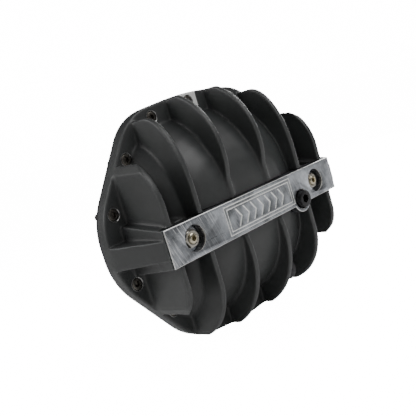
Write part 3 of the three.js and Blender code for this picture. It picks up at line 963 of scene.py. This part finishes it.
def soft_box(name, azimuth, elevation, distance, width, height, power, target):
    """An area light that faces the cover."""
    light = bpy.data.lights.new(name, "AREA")
    light.shape = "RECTANGLE"
    light.size = width
    light.size_y = height
    light.energy = power
    lamp = bpy.data.objects.new(name, light)
    bpy.context.scene.collection.objects.link(lamp)
    lamp.location = target + direction(azimuth, elevation) * distance
    lamp.rotation_euler = (target - lamp.location).to_track_quat("-Z", "Y").to_euler()


def set_camera(settings):
    """The camera, left of the cover and a little above it, rolled as the cover lies."""
    back = direction(CAMERA_AZIMUTH, CAMERA_ELEVATION)
    level = (-back).cross(Vector((0, 0, 1))).normalized()
    upright = level.cross(-back)
    turn = math.radians(CAMERA_ROLL)
    right = level * math.cos(turn) + upright * math.sin(turn)
    up = right.cross(-back)
    data = bpy.data.cameras.new("camera")
    data.lens = settings.lens
    data.sensor_width = SENSOR_WIDTH
    camera = bpy.data.objects.new("camera", data)
    bpy.context.scene.collection.objects.link(camera)
    camera.matrix_world = Matrix((right, up, back)).transposed().to_4x4()
    camera.location = CAMERA_PLACE
    bpy.context.scene.camera = camera


def set_world(settings):
    """An even white surround, brighter behind the cover than on it."""
    world = bpy.data.worlds.new("surround")
    bpy.context.scene.world = world
    world.use_nodes = True
    tree = world.node_tree
    tree.nodes.clear()
    white = (1, 1, 1, 1)
    seen = add(tree, "ShaderNodeBackground", None, {"Color": white, "Strength": settings.white})
    lit = add(tree, "ShaderNodeBackground", None, {"Color": white, "Strength": settings.fill})
    path = add(tree, "ShaderNodeLightPath")
    mix = add(tree, "ShaderNodeMixShader")
    end = add(tree, "ShaderNodeOutputWorld")
    tree.links.new(path.outputs["Is Camera Ray"], mix.inputs[0])
    tree.links.new(lit.outputs[0], mix.inputs[1])
    tree.links.new(seen.outputs[0], mix.inputs[2])
    tree.links.new(mix.outputs[0], end.inputs["Surface"])


def set_floor(settings):
    """A wide pale floor, a hair below the flange."""
    work = bmesh.new()
    bmesh.ops.create_circle(work, cap_ends=True, segments=96, radius=FLOOR_RADIUS)
    for face in work.faces:
        face.normal_update()
        if face.normal.z < 0:
            face.normal_flip()
    mesh = bpy.data.meshes.new("floor")
    work.to_mesh(mesh)
    work.free()
    material, tree, shader = new_material("pale_floor", settings.floor, 0.9)
    shader.inputs["Emission Color"].default_value = (1, 1, 1, 1)
    path = add(tree, "ShaderNodeLightPath")
    glow = spread_values(
        tree, path.outputs["Is Camera Ray"], settings.fill, settings.white - FLOOR_DROP,
    )
    tree.links.new(glow, shader.inputs["Emission Strength"])
    grain = group(tree, "grain", {"Scale": 3.0, "Fine": 4.0})
    pale = blend_colours(tree, grain.outputs["Mask"], shade(settings.floor, 0.99), settings.floor)
    tree.links.new(pale, shader.inputs["Base Color"])

    # From below, the floor lets the cover be seen.
    side = add(tree, "ShaderNodeNewGeometry")
    clear = add(tree, "ShaderNodeBsdfTransparent")
    mix = add(tree, "ShaderNodeMixShader")
    tree.links.new(side.outputs["Backfacing"], mix.inputs[0])
    tree.links.new(shader.outputs[0], mix.inputs[1])
    tree.links.new(clear.outputs[0], mix.inputs[2])
    tree.links.new(mix.outputs[0], tree.nodes["Material Output"].inputs["Surface"])
    mesh.materials.append(material)
    floor = bpy.data.objects.new("floor", mesh)
    bpy.context.scene.collection.objects.link(floor)
    floor.location.z = cad_low.z - 1 * MM


class COVER_OT_stage(bpy.types.Operator):
    """Sets the floor, the surround, the lights and the camera"""

    bl_idname = "cover.stage"
    bl_label = "Stage"

    def execute(self, context):
        settings = context.scene.cover_stage
        middle = (cad_low + cad_high) / 2
        set_floor(settings)
        set_world(settings)
        for light in LIGHTS:
            soft_box(*light, middle)
        set_camera(settings)
        return {"FINISHED"}


class COVER_PT_panel(bpy.types.Panel):
    """Lists the cover's pieces"""

    bl_label = "Differential Cover"
    bl_space_type = "VIEW_3D"
    bl_region_type = "UI"
    bl_category = "Cover"

    def draw(self, context):
        scene = context.scene
        for operator in OPERATORS:
            self.layout.operator(operator.bl_idname)
        for settings in (
            scene.cover_casting, scene.cover_bar, scene.cover_hardware, scene.cover_stage,
        ):
            box = self.layout.box()
            for name in settings.__annotations__:
                box.prop(settings, name)


OPERATORS = (
    COVER_OT_casting, COVER_OT_machined_rims, COVER_OT_bar, COVER_OT_gasket,
    COVER_OT_flange_screws, COVER_OT_load_screws, COVER_OT_plugs, COVER_OT_stage,
)
SETTINGS = (CastingSettings, BarSettings, HardwareSettings, StageSettings)
CLASSES = SETTINGS + OPERATORS + (COVER_PT_panel,)


def register():
    for cls in CLASSES:
        bpy.utils.register_class(cls)
    bpy.types.Scene.cover_casting = PointerProperty(type=CastingSettings)
    bpy.types.Scene.cover_bar = PointerProperty(type=BarSettings)
    bpy.types.Scene.cover_hardware = PointerProperty(type=HardwareSettings)
    bpy.types.Scene.cover_stage = PointerProperty(type=StageSettings)


def unregister():
    del bpy.types.Scene.cover_stage
    del bpy.types.Scene.cover_hardware
    del bpy.types.Scene.cover_bar
    del bpy.types.Scene.cover_casting
    for cls in reversed(CLASSES):
        bpy.utils.unregister_class(cls)


def main():
    register()
    bpy.ops.cover.casting()
    bpy.ops.cover.machined_rims()
    bpy.ops.cover.bar()
    bpy.ops.cover.gasket()
    bpy.ops.cover.flange_screws()
    bpy.ops.cover.load_screws()
    bpy.ops.cover.plugs()
    bpy.ops.cover.stage()


if __name__ == "__main__":
    main()
